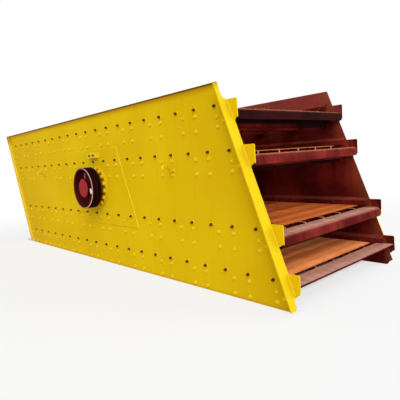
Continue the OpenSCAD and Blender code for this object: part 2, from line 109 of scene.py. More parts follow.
sky = bpy.data.worlds.new("pale_sky")
scene.world = sky
sky.use_nodes = True
tree = sky.node_tree
tree.nodes.clear()
light = add_node(tree, "Background", {"Color": linear("#f4f6fa"), "Strength": 0.5})
white = add_node(tree, "Background", {"Color": linear("#ffffff"), "Strength": 1.0})
add_node(tree, "OutputWorld", [add_node(tree, "MixShader", [seen_by_camera(tree), light, white])])

add_daylight("soft_daylight", 2.5, 50, (0.62, -0.62, 0.60))
add_daylight("light_into_the_decks", 1.8, 50, (0.62, 0.62, 0.34))


# The floor is plain, pale and matt, and keeps the box's shadow. A share of it glows white for the camera:
# all of it far away, less near the box, and none where the box covers it.
def new_material(name):
    """An empty node material, its tree, and the place and normal of what it covers."""
    material = bpy.data.materials.new(name)
    material.use_nodes = True
    tree = material.node_tree
    tree.nodes.clear()
    place = add_node(tree, "TexCoord").outputs["Object"]
    return material, tree, place, add_node(tree, "NewGeometry").outputs["Normal"]


# A soft step lists a value, where the step starts and ends, and what it goes from and to.
soft_step = {"interpolation_type": "SMOOTHSTEP"}

pale_floor, tree, place, _ = new_material("pale_studio_floor")
at = add_node(tree, "SeparateXYZ", [place]).outputs
along = add_node(tree, "Math", [at["X"]], operation="ABSOLUTE")
aside = add_node(tree, "Math", [at["Y"]], operation="ABSOLUTE")
beyond_ends = add_node(tree, "MapRange", [along, 3.00, 3.20], **soft_step)
beyond_sides = add_node(tree, "MapRange", [aside, 0.955, 0.965], **soft_step)
uncovered = add_node(tree, "Math", [beyond_ends, beyond_sides], operation="MAXIMUM")
away = add_node(tree, "VectorMath", [place], operation="LENGTH")
glow_share = add_node(tree, "MapRange", [away, 4.0, 9.0, 0.72, 1.0], **soft_step)
shown_share = add_node(tree, "Math", [uncovered, glow_share], operation="MULTIPLY")
share = add_node(tree, "Math", [seen_by_camera(tree), shown_share], operation="MULTIPLY")
matt = add_node(tree, "BsdfDiffuse", {"Color": linear("#dcdcda")})
glow = add_node(tree, "Emission", {"Color": linear("#ffffff"), "Strength": 1.0})
add_node(tree, "OutputMaterial", [add_node(tree, "MixShader", [share, matt, glow])])

shape = bmesh.new()
bmesh.ops.create_grid(shape, x_segments=1, y_segments=1, size=90)
mesh = bpy.data.meshes.new("floor")
shape.to_mesh(mesh)
shape.free()
mesh.materials.append(pale_floor)
floor = bpy.data.objects.new("floor", mesh)
scene.collection.objects.link(floor)


# Side plates, edge flanges and cheeks. Mild steel plate, cut, welded and sprayed with yellow enamel outside
# and dark red primer inside. The flanges and cheeks are welded to the slanted ends of the side plates.
slant_angle = math.radians(20.5)
slant = math.tan(slant_angle)
pulley_low, pulley_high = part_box("drive_pulley")
axis_x = (pulley_low.x + pulley_high.x) / 2
axis_z = (pulley_low.z + pulley_high.z) / 2
axis_to_edge = 2.980
edge_at_floor = axis_x + axis_to_edge + slant * axis_z
plate_l, plate_h, plate_face = 6.250, 2.130, 0.962


def behind_edge(tree, place):
    """How far back from the slanted discharge edge a place is: below nought on the cheeks and lips."""
    at = add_node(tree, "SeparateXYZ", [place]).outputs
    leaning = add_node(tree, "Math", [at["Z"], slant], operation="MULTIPLY")
    along = add_node(tree, "Math", [at["X"], leaning], operation="ADD")
    return add_node(tree, "Math", [edge_at_floor, along], operation="SUBTRACT")


def stain(tree, colour, stains):
    """Lays stains over a colour one after another, each a share and its own colour."""
    for share, tone in stains:
        over = linear(tone) if isinstance(tone, str) else tone
        colour = add_node(tree, "Mix", {"Factor": share, "A": colour, "B": over}, data_type="RGBA")
    return colour


def primer_colour(tree, place, normal, tones, dust_colour, depth):
    """Dark red primer with rusty patches, dark runs down upright faces, and dust on faces that look up, mostly
    ahead of the discharge edge. Stone has rubbed the dust thin on the noses of the upper three lips."""
    patches = add_node(tree, "TexNoise", {"Vector": place, "Scale": 1 / 0.35, "Detail": 5.0})
    hanging = add_node(tree, "Mapping", {"Vector": place, "Scale": (1 / 0.05, 1 / 0.05, 1 / 0.7)})
    runs = add_node(tree, "TexNoise", {"Vector": hanging, "Scale": 1.0, "Detail": 3.0})
    lying = add_node(tree, "Mapping", {"Vector": place, "Scale": (1 / 0.14, 1 / 0.035, 1 / 0.14)})
    drifts = add_node(tree, "TexNoise", {"Vector": lying, "Scale": 1.0, "Detail": 4.0})
    film = add_node(tree, "MapRange", [drifts, 0.2, 0.7, 0.45 * depth, depth], **soft_step)
    up = add_node(tree, "SeparateXYZ", [normal]).outputs["Z"]
    settled = add_node(tree, "MapRange", [up, 0.4, 0.98, 0.0, film], **soft_step)
    from_edge = behind_edge(tree, place)
    ahead_share = add_node(tree, "MapRange", [from_edge, 0.04, -0.04, 0.75, 1.0], **soft_step)
    height = add_node(tree, "SeparateXYZ", [place]).outputs["Z"]
    fourth_deck = add_node(tree, "Math", [height, 0.45], operation="LESS_THAN")
    rubbed = add_node(tree, "MapRange", [from_edge, -0.03, -0.09, 1.0, 0.4], **soft_step)
    nose_share = add_node(tree, "Math", [rubbed, fourth_deck], operation="MAXIMUM")
    share = add_node(tree, "Math", [ahead_share, nose_share], operation="MULTIPLY")
    return stain(tree, linear(tones[0]), [
        (add_node(tree, "MapRange", [patches, 0.32, 0.72], **soft_step), tones[1]),
        (add_node(tree, "MapRange", [runs, 0.50, 0.75, 0.0, 0.5], **soft_step), "#2a0a08"),
        (add_node(tree, "Math", [settled, share], operation="MULTIPLY"), dust_colour)])


# Enamel hides the primer on what looks outward. The far plate's front edge has rusted down to the third
# deck's cheek.
yellow_enamel, tree, place, normal = new_material("yellow_enamel_over_red_primer")
at = add_node(tree, "SeparateXYZ", [place]).outputs
facing = add_node(tree, "SeparateXYZ", [normal]).outputs
from_edge = behind_edge(tree, place)
side_turn = add_node(tree, "Math", [at["Y"], facing["Y"]], operation="MULTIPLY")
looks_out = add_node(tree, "Math", [side_turn, -0.3], operation="GREATER_THAN")
far_edge = add_node(tree, "Math", [at["Y"], 0.956, 0.0065], operation="COMPARE")
over_cheek = add_node(tree, "Math", [at["Z"], 0.66], operation="GREATER_THAN")
looks_ahead = add_node(tree, "Math", [facing["X"], 0.3], operation="GREATER_THAN")
rusted_part = add_node(tree, "Math", [looks_ahead, over_cheek], operation="MULTIPLY")
rusted_edge = add_node(tree, "Math", [far_edge, rusted_part], operation="MULTIPLY")
enamelled = add_node(tree, "Math", [1.0, rusted_edge], operation="SUBTRACT")
outside = add_node(tree, "Math", [looks_out, enamelled], operation="MULTIPLY")

# Sprayed coat: broad tone changes about a metre wide, lighter where it looks towards the discharge end as painted
# light, lighter on the cheeks, darker on the plates near both ends (painted shade of the discharge flange at the
# discharge end, and darker towards the feed end), and with faint runs that hang down.
broad = add_node(tree, "TexNoise", {"Vector": place, "Scale": 1 / 0.9, "Detail": 2.0})
lit_front_tint = add_node(tree, "MapRange", [facing["X"], 0.4, 0.8, 0.0, 0.5], **soft_step)
on_cheek = add_node(tree, "Math", [from_edge, -0.002], operation="LESS_THAN")
light_cheek = add_node(tree, "Math", [on_cheek, 0.6], operation="MULTIPLY")
flange_shade = add_node(tree, "MapRange", [from_edge, 1.2, 0.0, 0.0, 0.25], **soft_step)
near_feed = add_node(tree, "MapRange", [from_edge, 4.6, plate_l, 0.0, 0.35], **soft_step)
darker_ends_share = add_node(tree, "Math", [flange_shade, near_feed], operation="MAXIMUM")
darker_ends = add_node(tree, "MapRange", [facing["X"], 0.4, 0.8, darker_ends_share, 0.0], **soft_step)
hanging = add_node(tree, "Mapping", {"Vector": place, "Scale": (1 / 0.06, 1 / 0.06, 1 / 0.9)})
drips = add_node(tree, "TexNoise", {"Vector": hanging, "Scale": 1.0, "Detail": 3.0})
runs = add_node(tree, "MapRange", [drips, 0.52, 0.80, 0.0, 0.18], **soft_step)

# The feed edge is paler and the bottom edge orange. Painted shade darkens the top 100 mm to brown, and the top feed
# corner is brown. Thin dark lines run along the top edge and the feed flanges' outer edges.
pale_feed = add_node(tree, "MapRange", [from_edge, plate_l - 0.16, plate_l, 0.0, 0.2], **soft_step)
orange_foot = add_node(tree, "MapRange", [at["Z"], 0.04, 0.0, 0.0, 0.4], **soft_step)
top_shade = add_node(tree, "MapRange", [at["Z"], plate_h - 0.10, plate_h, 0.0, 0.75], **soft_step)
top_corner = add_node(tree, "MapRange", [at["Z"], plate_h - 0.25, plate_h - 0.05, 0.0, 0.8], **soft_step)
feed_corner = add_node(tree, "MapRange", [from_edge, plate_l - 0.25, plate_l - 0.05, 0.0, top_corner], **soft_step)
top_shade_and_brown_corner = add_node(tree, "Math", [top_shade, feed_corner], operation="MAXIMUM")
not_behind = add_node(tree, "MapRange", [facing["X"], -0.5, -0.2, 0.0, 0.85], **soft_step)
feed_dark_line = add_node(tree, "MapRange", [from_edge, plate_l - 0.011, plate_l - 0.004, 0.0, not_behind], **soft_step)
top_dark_line = add_node(tree, "MapRange", [at["Z"], plate_h - 0.030, plate_h - 0.010, 0.0, 0.75], **soft_step)
dark_edge_lines = add_node(tree, "Math", [feed_dark_line, top_dark_line], operation="MAXIMUM")

# Painted shade: orange-brown darkening from ambient occlusion in the corners round bolts and flanges. Painted
# reddish-brown shade and reflection of the red wheels lie on the bearing housings between their bolts, and the far
# flange's foot is darkened where it faces the front.
nearby = add_node(tree, "AmbientOcclusion", {"Distance": 0.06}, samples=6).outputs["AO"]
corner_shade = add_node(tree, "MapRange", [nearby, 0.5, 0.1, 0.0, 0.8], **soft_step)
centred = add_node(tree, "Mapping", {"Vector": place, "Location": (-axis_x, 0, -axis_z), "Scale": (1, 0, 1)})
from_axis = add_node(tree, "VectorMath", [centred], operation="LENGTH")
reflection_mottle = add_node(tree, "TexNoise", {"Vector": place, "Scale": 1 / 0.05, "Detail": 3.0})
reflection_share = add_node(tree, "MapRange", [reflection_mottle, 0.30, 0.55, 0.375, 0.75], **soft_step)
red_reflection_shade = add_node(tree, "MapRange", [from_axis, 0.300, 0.275, 0.0, reflection_share], **soft_step)
far_side = add_node(tree, "Math", [at["Y"], 0.9], operation="GREATER_THAN")
by_edge = add_node(tree, "MapRange", [from_edge, 0.5, 0.3, 0.0, far_side], **soft_step)
from_front = add_node(tree, "MapRange", [facing["X"], 0.3, 0.6, 0.0, by_edge], **soft_step)
darkened_foot = add_node(tree, "MapRange", [at["Z"], 0.30, 0.20, 0.0, from_front], **soft_step)
enamel = stain(tree, linear("#cba106"), [
    (broad, "#ddbe0e"), (lit_front_tint, "#d6bc1e"), (light_cheek, "#e2c00c"), (darker_ends, "#bf930a"), (runs, "#b98a0e"),
    (pale_feed, "#f6e05a"), (orange_foot, "#b8741a"), (top_shade_and_brown_corner, "#9a5f08"), (dark_edge_lines, "#3c2206"),
    (corner_shade, "#a8480c"), (red_reflection_shade, "#a8481c"), (darkened_foot, "#4a2410")])

# Inside, the primer is lighter near the top as painted light from the open top, and it is rubbed to orange rust near
# the discharge edge and blackened at the ends of the cheeks.
top_light_inside = add_node(tree, "MapRange", [at["Z"], 1.5, 2.1, 0.0, 0.5], **soft_step)
off_cheek = add_node(tree, "Math", [1.0, on_cheek], operation="SUBTRACT")
by_discharge = add_node(tree, "MapRange", [from_edge, 0.22, 0.0, 0.0, 0.35], **soft_step)
rubbed = add_node(tree, "Math", [by_discharge, off_cheek], operation="MULTIPLY")
blackened = add_node(tree, "MapRange", [from_edge, -0.06, -0.11, 0.0, 0.8], **soft_step)
primer = stain(tree, primer_colour(tree, place, normal, ("#4c100e", "#7c221c"), "#7a3a28", 0.6), [
    (top_light_inside, "#9c4a40"), (rubbed, "#8a4a28"), (blackened, "#220807")])

# Orange peel of sprayed enamel, about 8 mm from crest to crest, drawn twice as coarse so that it shows.
peel = add_node(tree, "TexNoise", {"Vector": place, "Scale": 1 / 0.016, "Detail": 2.0})
bump = add_node(tree, "Bump", {"Height": peel, "Strength": 0.06, "Distance": 0.004})
roughness = add_node(tree, "MapRange", [outside, 0.0, 1.0, 0.75, 0.5], **soft_step)
skin = add_node(tree, "BsdfPrincipled", {
    "Base Color": stain(tree, primer, [(outside, enamel)]), "Roughness": roughness, "Specular IOR Level": 0.01,
    "Normal": bump})
add_node(tree, "OutputMaterial", [skin])


def finish_nodes(material, names):
    """Gives CAD nodes their finish."""
    for name in names:
        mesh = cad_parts[name].data
        mesh.materials.clear()
        mesh.materials.append(material)


decks = ("deck1", "deck2", "deck3", "deck4")
sides = {"drive": -1, "far": 1}
finish_nodes(yellow_enamel, [side + part for side in sides for part in (
    "_side_plate", "_discharge_flange", "_feed_flange", "_doubler", "_bearing_housing")])
finish_nodes(yellow_enamel, [deck + "_cheeks" for deck in decks])


def new_piece(name, shape, material, body="screen_box"):
    """Turns a finished bmesh into an object that rides on a CAD body and takes a slot's finish."""
    mesh = bpy.data.meshes.new(name)
    shape.to_mesh(mesh)
    shape.free()
    mesh.materials.append(material)
    piece = bpy.data.objects.new(name, mesh)
    scene.collection.objects.link(piece)
    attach(piece, body)
    return piece


# Discharge flanges: flat bar on edge, welded along the slanted ends. Their tops are flame-cut to slope down from
# the side plates, and they wear the same enamel.
def only(kind, geom):
    """The vertices, edges or faces among what an operator gives back."""
    return [part for part in geom if isinstance(part, kind)]


flange_drop, flange_reach = 0.026, 0.118
for side, sign in sides.items():
    flange = bmesh.new()
    flange.from_mesh(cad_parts[side + "_discharge_flange"].data)
    bmesh.ops.remove_doubles(flange, verts=flange.verts[:], dist=0.0001)
    cut = bmesh.ops.bisect_plane(
        flange, geom=flange.verts[:] + flange.edges[:] + flange.faces[:], clear_outer=True,
        plane_co=(0, sign * plate_face, plate_h), plane_no=(0, sign * flange_drop, flange_reach))["geom_cut"]
    bmesh.ops.holes_fill(flange, edges=only(bmesh.types.BMEdge, cut))
    bmesh.ops.recalc_face_normals(flange, faces=flange.faces[:])
    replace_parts(new_piece(side + "_trimmed_flange", flange, yellow_enamel),
                side + "_discharge_flange")


# Weld beads: fillets of weld along the flange roots and round the reinforcing plates and grease blocks. The coat was
# sprayed over them, and lies thick and glossy on small rounded things; its base colour is paler than the plates'
# enamel, as painted highlight.
thick_enamel, tree, place, _ = new_material("thick_glossy_yellow_enamel")
tint = add_node(tree, "TexNoise", {"Vector": place, "Scale": 1 / 0.03, "Detail": 3.0})
skin = add_node(tree, "BsdfPrincipled", {
    "Base Color": stain(tree, linear("#d4ae0c"), [(tint, "#eacc1e")]), "Roughness": 0.3, "Specular IOR Level": 0.1})
add_node(tree, "OutputMaterial", [skin])


def edge_x(z):
    """The slanted discharge edge of a side plate at height z."""
    return edge_at_floor - slant * z


def mesh_of(shape):
    """A mesh to copy, from a finished bmesh."""
    mesh = bpy.data.meshes.new("copied_shape")
    shape.to_mesh(mesh)
    shape.free()
    return mesh


def put_copies(shape, mesh, places):
    """Adds a copy of a mesh to a bmesh at each place."""
    for place in places:
        first = len(shape.verts)
        shape.from_mesh(mesh)
        shape.verts.ensure_lookup_table()
        bmesh.ops.transform(shape, matrix=place, verts=shape.verts[first:])


def weld_bead(shape, start, end, radius):
    """A bead along a straight joint, full and thin in turn every 18 mm."""
    start, end = Vector(start), Vector(end)
    length = (end - start).length
    rings = max(2, round(length / 0.018))
    bead = bmesh.new()
    bmesh.ops.create_cone(bead, cap_ends=True, segments=6, radius1=radius, radius2=radius, depth=length)
    lines = [e for e in bead.edges if abs(e.verts[0].co.z - e.verts[1].co.z) > length / 2]
    bmesh.ops.subdivide_edges(bead, edges=lines, cuts=rings - 1, use_grid_fill=True)
    for vert in bead.verts:
        if round((vert.co.z / length + 0.5) * rings) % 2:
            vert.co.xy *= 0.8
    along = (end - start).to_track_quat("Z", "Y").to_matrix().to_4x4()
    put_copies(shape, mesh_of(bead), [Matrix.Translation((start + end) / 2) @ along])


def weld_round(shape, corners, radius):
    """Beads along the edges of a plate, from corner to corner and back to the first."""
    for start, end in zip(corners, corners[1:] + corners[:1]):
        weld_bead(shape, start, end, radius)


# The far discharge flange stands back from its plate's edge.
setbacks = {"drive": 0.0, "far": 0.075}
flange_t, doubler_t = 0.012, 0.010
flange_back = flange_t / math.cos(slant_angle)
block_low, block_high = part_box("grease_blocks")
beads = bmesh.new()
for side, sign in sides.items():
    face = sign * plate_face
    for behind, foot, head, radius in (
            (setbacks[side], 0.16, 1.93, 0.007), (setbacks[side] + flange_back, 0.16, 1.93, 0.007),
            (plate_l - flange_back, 0.07, plate_h - 0.02, 0.006)):
        weld_bead(beads, (edge_x(foot) - behind, face, foot), (edge_x(head) - behind, face, head), radius)
    low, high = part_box(side + "_doubler")
    lean = slant * (high.z - low.z)
    weld_round(beads, [(low.x + lean, face, low.z), (high.x, face, low.z),
                       (high.x - lean, face, high.z), (low.x, face, high.z)], 0.006)
    out = face + sign * doubler_t
    weld_round(beads, [(block_low.x, out, block_low.z), (block_high.x, out, block_low.z),
                       (block_high.x, out, block_high.z), (block_low.x, out, block_high.z)], 0.005)
new_piece("weld_beads", beads, thick_enamel)
finish_nodes(thick_enamel, ["grease_blocks"])


# Deck frames: cross-beams, stringers, side rails, the feed end plate and the exciter tube. Rolled tube, flat bar
# and folded plate in dark red primer, with a little brown dust on what faces up.
def primed_steel(name, tones, dust_colour, depth, gap_shade):
    """Dark red primer on steel, gritty to the touch, with a share of painted shade, near black, in the gaps close
    behind the lips, left off most of the top tube, which lies in the light."""
    material, tree, place, normal = new_material(name)
    at = add_node(tree, "SeparateXYZ", [place]).outputs
    # Painted shade: near black behind the lips, left off the near part of the top tube.
    shade_on_far_part = add_node(tree, "MapRange", [at["Y"], 0.25, 0.20, gap_shade, 0.0], **soft_step)
    shade_by_height = add_node(tree, "MapRange", [at["Z"], 1.58, 1.60, gap_shade, shade_on_far_part], **soft_step)
    shade_by_lip = add_node(tree, "MapRange", [behind_edge(tree, place), 0.24, 0.18, 0.0, shade_by_height], **soft_step)
    aside = add_node(tree, "Math", [at["Y"]], operation="ABSOLUTE")
    gap_shade_share = add_node(tree, "MapRange", [aside, 0.90, 0.88, 0.0, shade_by_lip], **soft_step)
    colour = stain(tree, primer_colour(tree, place, normal, tones, dust_colour, depth), [(gap_shade_share, "#160605")])
    grit = add_node(tree, "TexNoise", {"Vector": place, "Scale": 1 / 0.02, "Detail": 4.0})
    bump = add_node(tree, "Bump", {"Height": grit, "Strength": 0.15, "Distance": 0.004})
    skin = add_node(tree, "BsdfPrincipled", {
        "Base Color": colour, "Roughness": 0.75, "Specular IOR Level": 0.02, "Normal": bump})
    add_node(tree, "OutputMaterial", [skin])
    return material


red_primer = primed_steel("dark_red_primer", ("#4c100e", "#7c221c"), "#a05a3c", 0.8, 0.9)
finish_nodes(red_primer, [deck + part for deck in decks for part in ("_cross_beams", "_stringers", "_side_rails")])
finish_nodes(red_primer, ["feed_end_plate", "exciter_tube"])


# Discharge lips: plate folded over a round former at the end of each deck, bolted to the end tube. Falling stone
# keeps the paint thin and leaves pale dust on top. The top lip takes a darker copy of the primer as painted shade.
dusty_primer = primed_steel("dark_red_primer_under_stone_dust", ("#50120f", "#822a24"), "#cf9a84", 0.95, 0.0)
shaded_lip_primer = primed_steel("red_primer_under_stone_dust_in_painted_shade", ("#1a0707", "#300d0c"), "#a87050", 0.95, 0.0)
solid_bend, worn_bend = 0.032, 0.045
sharp_angle = math.radians(30)
for deck in decks:
    lip = bmesh.new()
    lip.from_mesh(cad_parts[deck + "_discharge_lip"].data)
    bmesh.ops.remove_doubles(lip, verts=lip.verts[:], dist=0.0001)
    front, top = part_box(deck + "_discharge_lip")[1].xz
    # Stone has beaten the third lip's bend wider: its outer and inner arcs move to a larger radius.
    for vert in lip.verts if deck == "deck3" else []:
        from_bend = vert.co.xz - Vector((front - solid_bend, top - solid_bend))
        if min(from_bend) > -0.0005:
            reach = worn_bend - solid_bend + from_bend.length
            vert.co.xz = Vector((front - worn_bend, top - worn_bend)) + from_bend.normalized() * reach
    for face in lip.faces:
        face.smooth = True
    for edge in lip.edges:
        edge.smooth = edge.calc_face_angle(math.pi) < sharp_angle
    # The top lip wears the darker copy of the primer: painted shade.
    finish = shaded_lip_primer if deck == "deck1" else dusty_primer
    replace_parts(new_piece(deck + "_rolled_lip", lip, finish), deck + "_discharge_lip")

# Short straps bridge the gap between each mesh and its lip, one on the end of each stringer. Where the lip lies
# lower, the strap is folded down to it. Dust covers them on all sides.
caked_primer = primed_steel("red_primer_caked_with_stone_dust", ("#a06052", "#bc8474"), "#d8a894", 0.9, 0.0)
strap_w, strap_t, fold_t = 0.016, 0.003, 0.006
stringer_n, stringer_t = 5, 0.012
straps = bmesh.new()
for deck in decks:
    gap_start, gap_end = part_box(deck + "_mesh")[1].x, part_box(deck + "_discharge_lip")[0].x
    lip_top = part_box(deck + "_discharge_lip")[1].z
    low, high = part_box(deck + "_stringers")
    strap_top = high.z + strap_t
    blocks = [(gap_start, gap_end, high.z)]
    if lip_top < high.z:
        blocks.append((gap_end, gap_end + fold_t, lip_top))
    for k in range(stringer_n):
        y = low.y + stringer_t / 2 + (high.y - low.y - stringer_t) * k / (stringer_n - 1)
        for near, far, foot in blocks:
            size = Matrix.Diagonal((far - near, strap_w, strap_top - foot, 1))
            middle = Matrix.Translation(((near + far) / 2, y, (foot + strap_top) / 2))
            bmesh.ops.create_cube(straps, size=1, matrix=middle @ size)
new_piece("stringer_end_straps", straps, caked_primer)


# Screen meshes: woven steel wire, crimped at each crossing. The upper two decks have square openings, the lower
# two narrow slots between straight wires along the flow. The rails clamp each panel down.
# The rust is streaked along the flow, pale with stone dust on the lowest deck, and rubbed dark near the upper lips.
rusty_wire, tree, place, _ = new_material("rusted_woven_wire")
height = add_node(tree, "SeparateXYZ", [place]).outputs["Z"]
flowing = add_node(tree, "Mapping", {"Vector": place, "Scale": (1 / 1.2, 1 / 0.12, 1 / 0.12)})
streaks = add_node(tree, "TexNoise", {"Vector": flowing, "Scale": 1.0, "Detail": 4.0})
drifts = add_node(tree, "TexNoise", {"Vector": place, "Scale": 1 / 0.4, "Detail": 4.0})
low_down = add_node(tree, "MapRange", [height, 0.65, 0.30, 0.048, 0.8], **soft_step)
high_up = add_node(tree, "MapRange", [height, 0.4, 0.6, 0.0, 0.3], **soft_step)
colour = stain(tree, linear("#d2672b"), [
    (add_node(tree, "MapRange", [streaks, 0.30, 0.70], **soft_step), "#e67a36"),
    (add_node(tree, "Math", [low_down, drifts], operation="MULTIPLY"), "#fab070"),
    (add_node(tree, "MapRange", [behind_edge(tree, place), 1.2, 0.1, 0.0, high_up], **soft_step), "#7e3e18")])
pits = add_node(tree, "TexNoise", {"Vector": place, "Scale": 1 / 0.008, "Detail": 3.0})
bump = add_node(tree, "Bump", {"Height": pits, "Strength": 0.3, "Distance": 0.002})
skin = add_node(tree, "BsdfPrincipled", {
    "Base Color": colour, "Roughness": 0.8, "Specular IOR Level": 0.1, "Normal": bump})
add_node(tree, "OutputMaterial", [skin])


def wire_along_x(crossings, pitch, wire_d, rise):
    """A square-section wire along X that steps down and up by the rise from one crossing to the next."""
    wire = bmesh.new()
    across = Matrix.Rotation(math.radians(90), 4, "Y") @ Matrix.Rotation(math.radians(45), 4, "Z")
    bmesh.ops.create_circle(wire, cap_ends=True, segments=4, radius=wire_d / math.sqrt(2),
                            matrix=Matrix.Translation((0, 0, rise / 2)) @ across)
    end = wire.faces[:]
    for k in range(crossings):
        grown = bmesh.ops.extrude_face_region(wire, geom=end)["geom"]
        end = only(bmesh.types.BMFace, grown)
        step = -rise if k % 2 == 0 else rise
        bmesh.ops.translate(wire, vec=(pitch, 0, step), verts=only(bmesh.types.BMVert, grown))
    bmesh.ops.recalc_face_normals(wire, faces=wire.faces[:])
    for face in wire.faces:
        face.smooth = True
    return mesh_of(wire)


upright = Matrix()
turned_over = Matrix.Rotation(math.pi, 4, "X")
quarter = Matrix.Rotation(math.radians(90), 4, "Z")
for deck, wire_d, long_pitch, cross_pitch, weave_kind in (
        ("deck1", 0.006, 0.050, 0.050, "square"), ("deck2", 0.006, 0.044, 0.044, "square"),
        ("deck3", 0.007, 0.015, 0.120, "slotted"), ("deck4", 0.007, 0.014, 0.110, "slotted")):
    long_rise = wire_d if weave_kind == "square" else 0.0
    cross_rise = 2 * wire_d - long_rise
    low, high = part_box(deck + "_mesh")
    across_n = int((high.x - low.x - wire_d) / cross_pitch)
    along_n = int((high.y - low.y - wire_d) / long_pitch)
    x0 = (low.x + high.x - across_n * cross_pitch) / 2
    y0 = (low.y + high.y - along_n * long_pitch) / 2
    middle = (low.z + high.z) / 2
    weave = bmesh.new()
    put_copies(weave, wire_along_x(across_n, cross_pitch, wire_d, long_rise), [
        Matrix.Translation((x0, y0 + j * long_pitch, middle)) @ (turned_over if j % 2 else upright)
        for j in range(along_n + 1)])
    put_copies(weave, wire_along_x(along_n, long_pitch, wire_d, cross_rise), [
        Matrix.Translation((x0 + i * cross_pitch, y0, middle)) @ quarter @ (upright if i % 2 else turned_over)
        for i in range(across_n + 1)])
    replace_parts(new_piece(deck + "_woven_mesh", weave, rusty_wire), deck + "_mesh")


# Mesh clamp bolts: a row along each deck on both sides. A yellow dished washer sits on the plate under a rusty dark
# nut, with the end of the stud standing out of it. The round heads sit inside on the rails and wear their primer.
# The rust is specked brown, with yellow overspray towards the feed end.
rusty_bolt, tree, place, _ = new_material("rusted_brown_bolt")
speck = add_node(tree, "TexNoise", {"Vector": place, "Scale": 1 / 0.012, "Detail": 3.0})
along = add_node(tree, "SeparateXYZ", [place]).outputs["X"]
overspray = add_node(tree, "MapRange", [along, 1.5, -3.0, 0.0, 0.5], **soft_step)
colour = stain(tree, linear("#3c1f0a"), [(speck, "#7a4c14"), (overspray, "#a8800e")])
bump = add_node(tree, "Bump", {"Height": speck, "Strength": 0.3, "Distance": 0.002})
skin = add_node(tree, "BsdfPrincipled", {
    "Base Color": colour, "Roughness": 0.7, "Specular IOR Level": 0.03, "Normal": bump})
add_node(tree, "OutputMaterial", [skin])

deck_rows = (1.903, 1.462, 0.719, 0.268)
doubler_low, doubler_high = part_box("drive_doubler")
doubler_reach = 0.78
washer_room_x, washer_room_z = 0.03, 0.02


def facing_y(x, y, z, sign, turn=0.0):
    """A place whose Z points along -Y or +Y, as the sign says."""
    tipped = Matrix.Rotation(math.radians(-90 * sign), 4, "X")
    return Matrix.Translation((x, y, z)) @ tipped @ Matrix.Rotation(turn, 4, "Z")


def outward_place(side, x, z, turn=0.0, lift=0.0):
    """A place on a side plate with Z pointing out of it, or on the reinforcing plate where a washer would meet
    that."""
    from_middle = x - axis_x - slant * (axis_z - z)
    in_height = doubler_low.z - washer_room_z < z < doubler_high.z + washer_room_z
    on_doubler = in_height and abs(from_middle) < doubler_reach + washer_room_x
    out = plate_face + (doubler_t if on_doubler else 0.0) + lift
    return facing_y(x, sides[side] * out, z, sides[side], turn)


def turned_disc(radius, height, lead, segments=20):
    """A disc that stands on Z = 0 with its upper edge chamfered."""
    shape = bmesh.new()
    bmesh.ops.create_cone(shape, cap_ends=True, segments=segments, radius1=radius, radius2=radius, depth=height,
                          matrix=Matrix.Translation((0, 0, height / 2)))
    rim = [e for e in shape.edges if all(v.co.z > height * 0.9 for v in e.verts)]
    bmesh.ops.bevel(shape, geom=rim, offset=lead, affect="EDGES", segments=2, profile=0.5, material=-1)
    return shape


washer = turned_disc(radius=0.027, height=0.007, lead=0.003)
dish = [f for f in washer.faces if f.normal.z > 0.99]
bmesh.ops.inset_region(washer, faces=dish, thickness=0.008, depth=-0.003)
washer_mesh = mesh_of(washer)
nut_mesh = mesh_of(turned_disc(radius=0.0175, height=0.016, lead=0.003, segments=6))
stud_mesh = mesh_of(turned_disc(radius=0.009, height=0.030, lead=0.002, segments=12))
round_head_mesh = mesh_of(turned_disc(radius=0.018, height=0.010, lead=0.006, segments=16))

clamp_first, clamp_pitch, clamps_per_row = 0.184, 0.300, 20
dish_floor, head_rise = 0.004, 0.010
half_inside_w, rail_w = 0.950, 0.045
dice = random.Random(4)
washers, nuts, round_heads = bmesh.new(), bmesh.new(), bmesh.new()
for side, sign in sides.items():
    rail_face = sign * (half_inside_w - rail_w)
    for row in deck_rows:
        for k in range(clamps_per_row):
            x = edge_x(row) - clamp_first - clamp_pitch * k
            stand = outward_place(side, x, row, dice.uniform(0, math.pi / 3), dish_floor)
            put_copies(washers, washer_mesh, [outward_place(side, x, row)])
            put_copies(nuts, nut_mesh, [stand])
            put_copies(nuts, stud_mesh, [stand])
            put_copies(round_heads, round_head_mesh, [facing_y(x, rail_face, row + head_rise, -sign)])
new_piece("mesh_clamp_washers", washers, thick_enamel)
new_piece("mesh_clamp_nuts", nuts, rusty_bolt)
new_piece("mesh_clamp_heads", round_heads, red_primer)


# Cross-beam bolts: four hexagon heads with washers at each end of a cross-beam, and three at each end of the
# tube that carries a lip. They were fitted before the yellow enamel was sprayed, so they wear the same coat.
head_mesh = mesh_of(turned_disc(radius=0.019, height=0.014, lead=0.003, segments=6))
flat_washer_t = 0.004
flat_washer_mesh = mesh_of(turned_disc(radius=0.023, height=flat_washer_t, lead=0.0015))
beam_drop, beam_first, beam_pitch, beams_per_deck = 0.143, 0.630, 0.600, 10
corner_bolts = [(dx, dz) for dx in (-0.100, 0.100) for dz in (-0.078, 0.078)]
lip_tube_bolts = ((-0.152, -0.103), (-0.152, -0.198), (-0.066, -0.150))
beam_bolts = bmesh.new()
for side in sides:
    for deck, row in zip(decks, deck_rows):
        beam_z = row - beam_drop
        # The second deck has no fifth beam: the exciter stands in its way.
        beams = [k for k in range(beams_per_deck) if (deck, k) != ("deck2", 4)]
        beam_xs = [edge_x(beam_z) - beam_first - beam_pitch * k for k in beams]
        spots = [(x + dx, beam_z + dz) for x in beam_xs for dx, dz in corner_bolts]
        spots += [(edge_x(row) + dx, row + dz) for dx, dz in lip_tube_bolts]
        for x, z in spots:
            turn = dice.uniform(0, math.pi / 3)
            put_copies(beam_bolts, flat_washer_mesh, [outward_place(side, x, z)])
            put_copies(beam_bolts, head_mesh, [outward_place(side, x, z, turn, flat_washer_t)])
new_piece("cross_beam_bolts", beam_bolts, thick_enamel)


